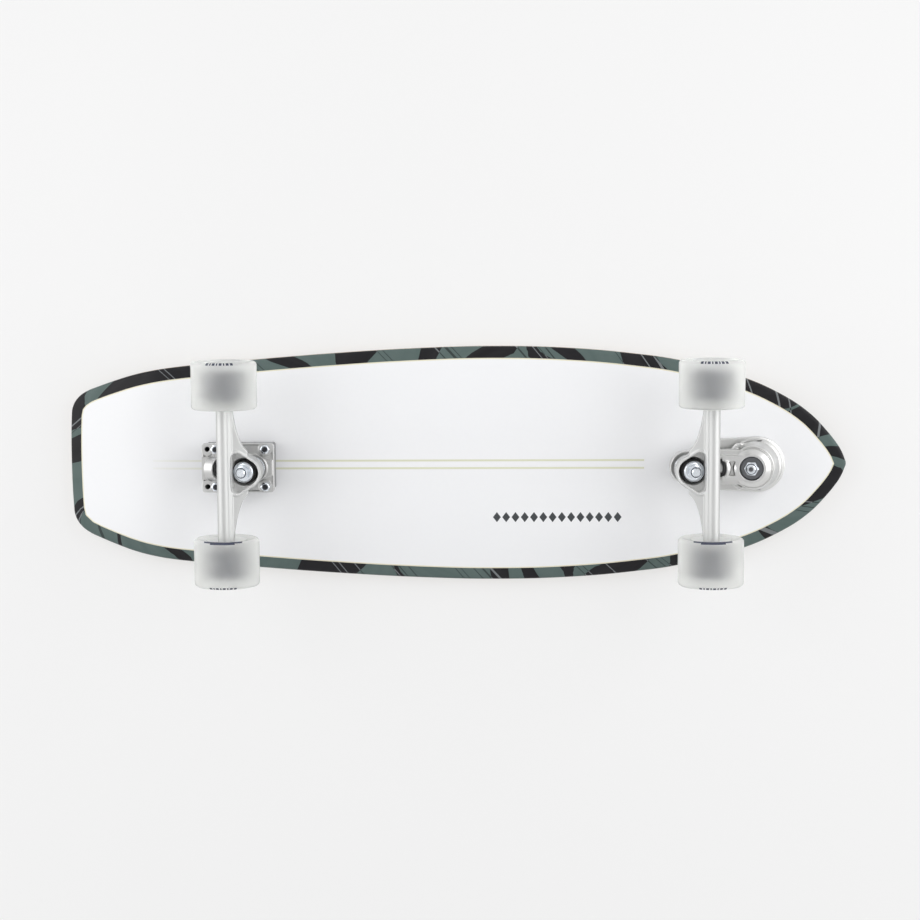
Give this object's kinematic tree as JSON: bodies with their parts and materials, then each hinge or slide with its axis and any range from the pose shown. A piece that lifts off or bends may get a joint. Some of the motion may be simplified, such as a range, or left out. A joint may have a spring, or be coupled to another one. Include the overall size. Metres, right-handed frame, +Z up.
{
  "type": "surf skateboard",
  "caption": "Surf skateboard: a pointed deck with a kicktail on four urethane wheels, a leaning truck at the tail and a sprung swinging-arm truck at the nose.",
  "frame": {"origin": "middle of the box round the board, on the floor under the wheels", "axes": "+X to the nose, +Y to the rider's left when facing the nose, +Z up"},
  "size_m": [0.864, 0.2598, 0.1648],
  "materials": {
    "deck_wood": "painted, satin",
    "grip": "rough grit",
    "riser": "moulded",
    "casting": "polished casting",
    "zinc": "zinc plated",
    "bushing": "satin",
    "urethane": "milky, smooth",
    "hub": "moulded",
    "bearing": "bright",
    "spring_steel": "oiled"
  },
  "bodies": {
    "board": {"deck": "deck_wood", "grip_tape": "grip", "rear_outboard_left_bolt": "zinc", "rear_outboard_right_bolt": "zinc", "rear_inboard_left_bolt": "zinc", "rear_inboard_right_bolt": "zinc", "front_outboard_left_bolt": "zinc", "front_outboard_right_bolt": "zinc", "front_inboard_left_bolt": "zinc", "front_inboard_right_bolt": "zinc", "rear_riser": "riser", "rear_baseplate": "casting", "rear_kingpin": "zinc", "rear_kingpin_nut": "zinc", "rear_cup_washer": "zinc", "rear_road_bushing": "bushing", "rear_deck_bushing": "bushing", "rear_flat_washer": "zinc", "rear_pivot_cup": "bushing", "front_base": "casting", "return_spring": "spring_steel", "swivel_bolt": "zinc", "swivel_bearing": "bearing", "swivel_washer": "zinc", "swivel_nut": "zinc"},
    "front_swing_arm": {"front_arm": "casting", "front_kingpin": "zinc", "front_kingpin_nut": "zinc", "front_cup_washer": "zinc", "front_road_bushing": "bushing", "front_deck_bushing": "bushing", "front_flat_washer": "zinc", "front_pivot_cup": "bushing"},
    "rear_steering_hanger": {"rear_hanger": "casting", "rear_axle": "zinc", "rear_left_axle_nut": "zinc", "rear_right_axle_nut": "zinc"},
    "front_steering_hanger": {"front_hanger": "casting", "front_axle": "zinc", "front_left_axle_nut": "zinc", "front_right_axle_nut": "zinc"},
    "rear_left_wheel_set": {"rear_left_wheel": "urethane", "rear_left_wheel_core": "hub", "rear_left_outer_bearing": "bearing", "rear_left_inner_bearing": "bearing"},
    "rear_right_wheel_set": {"rear_right_wheel": "urethane", "rear_right_wheel_core": "hub", "rear_right_outer_bearing": "bearing", "rear_right_inner_bearing": "bearing"},
    "front_left_wheel_set": {"front_left_wheel": "urethane", "front_left_wheel_core": "hub", "front_left_outer_bearing": "bearing", "front_left_inner_bearing": "bearing"},
    "front_right_wheel_set": {"front_right_wheel": "urethane", "front_right_wheel_core": "hub", "front_right_outer_bearing": "bearing", "front_right_inner_bearing": "bearing"}
  },
  "joints": [
    {"name": "front_arm_swing", "type": "hinge", "parent": "board", "child": "front_swing_arm", "pos_m": [0.334, 0, 0.1202], "axis": [0.2062, 0, 0.9785], "range_deg": [-30, 30], "stiffness_Nm_per_rad": 15},
    {"name": "front_lean", "type": "hinge", "parent": "front_swing_arm", "child": "front_steering_hanger", "pos_m": [0.2927, 0, 0.081], "axis": [0.9191, 0, 0.3939], "range_deg": [-18, 18], "stiffness_Nm_per_rad": 40, "deforming": ["front_deck_bushing", "front_road_bushing"]},
    {"name": "rear_lean", "type": "hinge", "parent": "board", "child": "rear_steering_hanger", "pos_m": [-0.2542, 0, 0.081], "axis": [0.9191, 0, -0.3939], "range_deg": [-18, 18], "stiffness_Nm_per_rad": 40, "deforming": ["rear_deck_bushing", "rear_road_bushing"]},
    {"name": "rear_left_wheel_spin", "type": "hinge", "parent": "rear_steering_hanger", "child": "rear_left_wheel_set", "pos_m": [-0.2392, 0.0948, 0.035], "axis": [0, 1, 0], "continuous": true},
    {"name": "rear_right_wheel_spin", "type": "hinge", "parent": "rear_steering_hanger", "child": "rear_right_wheel_set", "pos_m": [-0.2392, -0.0948, 0.035], "axis": [0, 1, 0], "continuous": true},
    {"name": "front_left_wheel_spin", "type": "hinge", "parent": "front_steering_hanger", "child": "front_left_wheel_set", "pos_m": [0.2777, 0.0948, 0.035], "axis": [0, 1, 0], "continuous": true},
    {"name": "front_right_wheel_spin", "type": "hinge", "parent": "front_steering_hanger", "child": "front_right_wheel_set", "pos_m": [0.2777, -0.0948, 0.035], "axis": [0, 1, 0], "continuous": true}
  ]
}
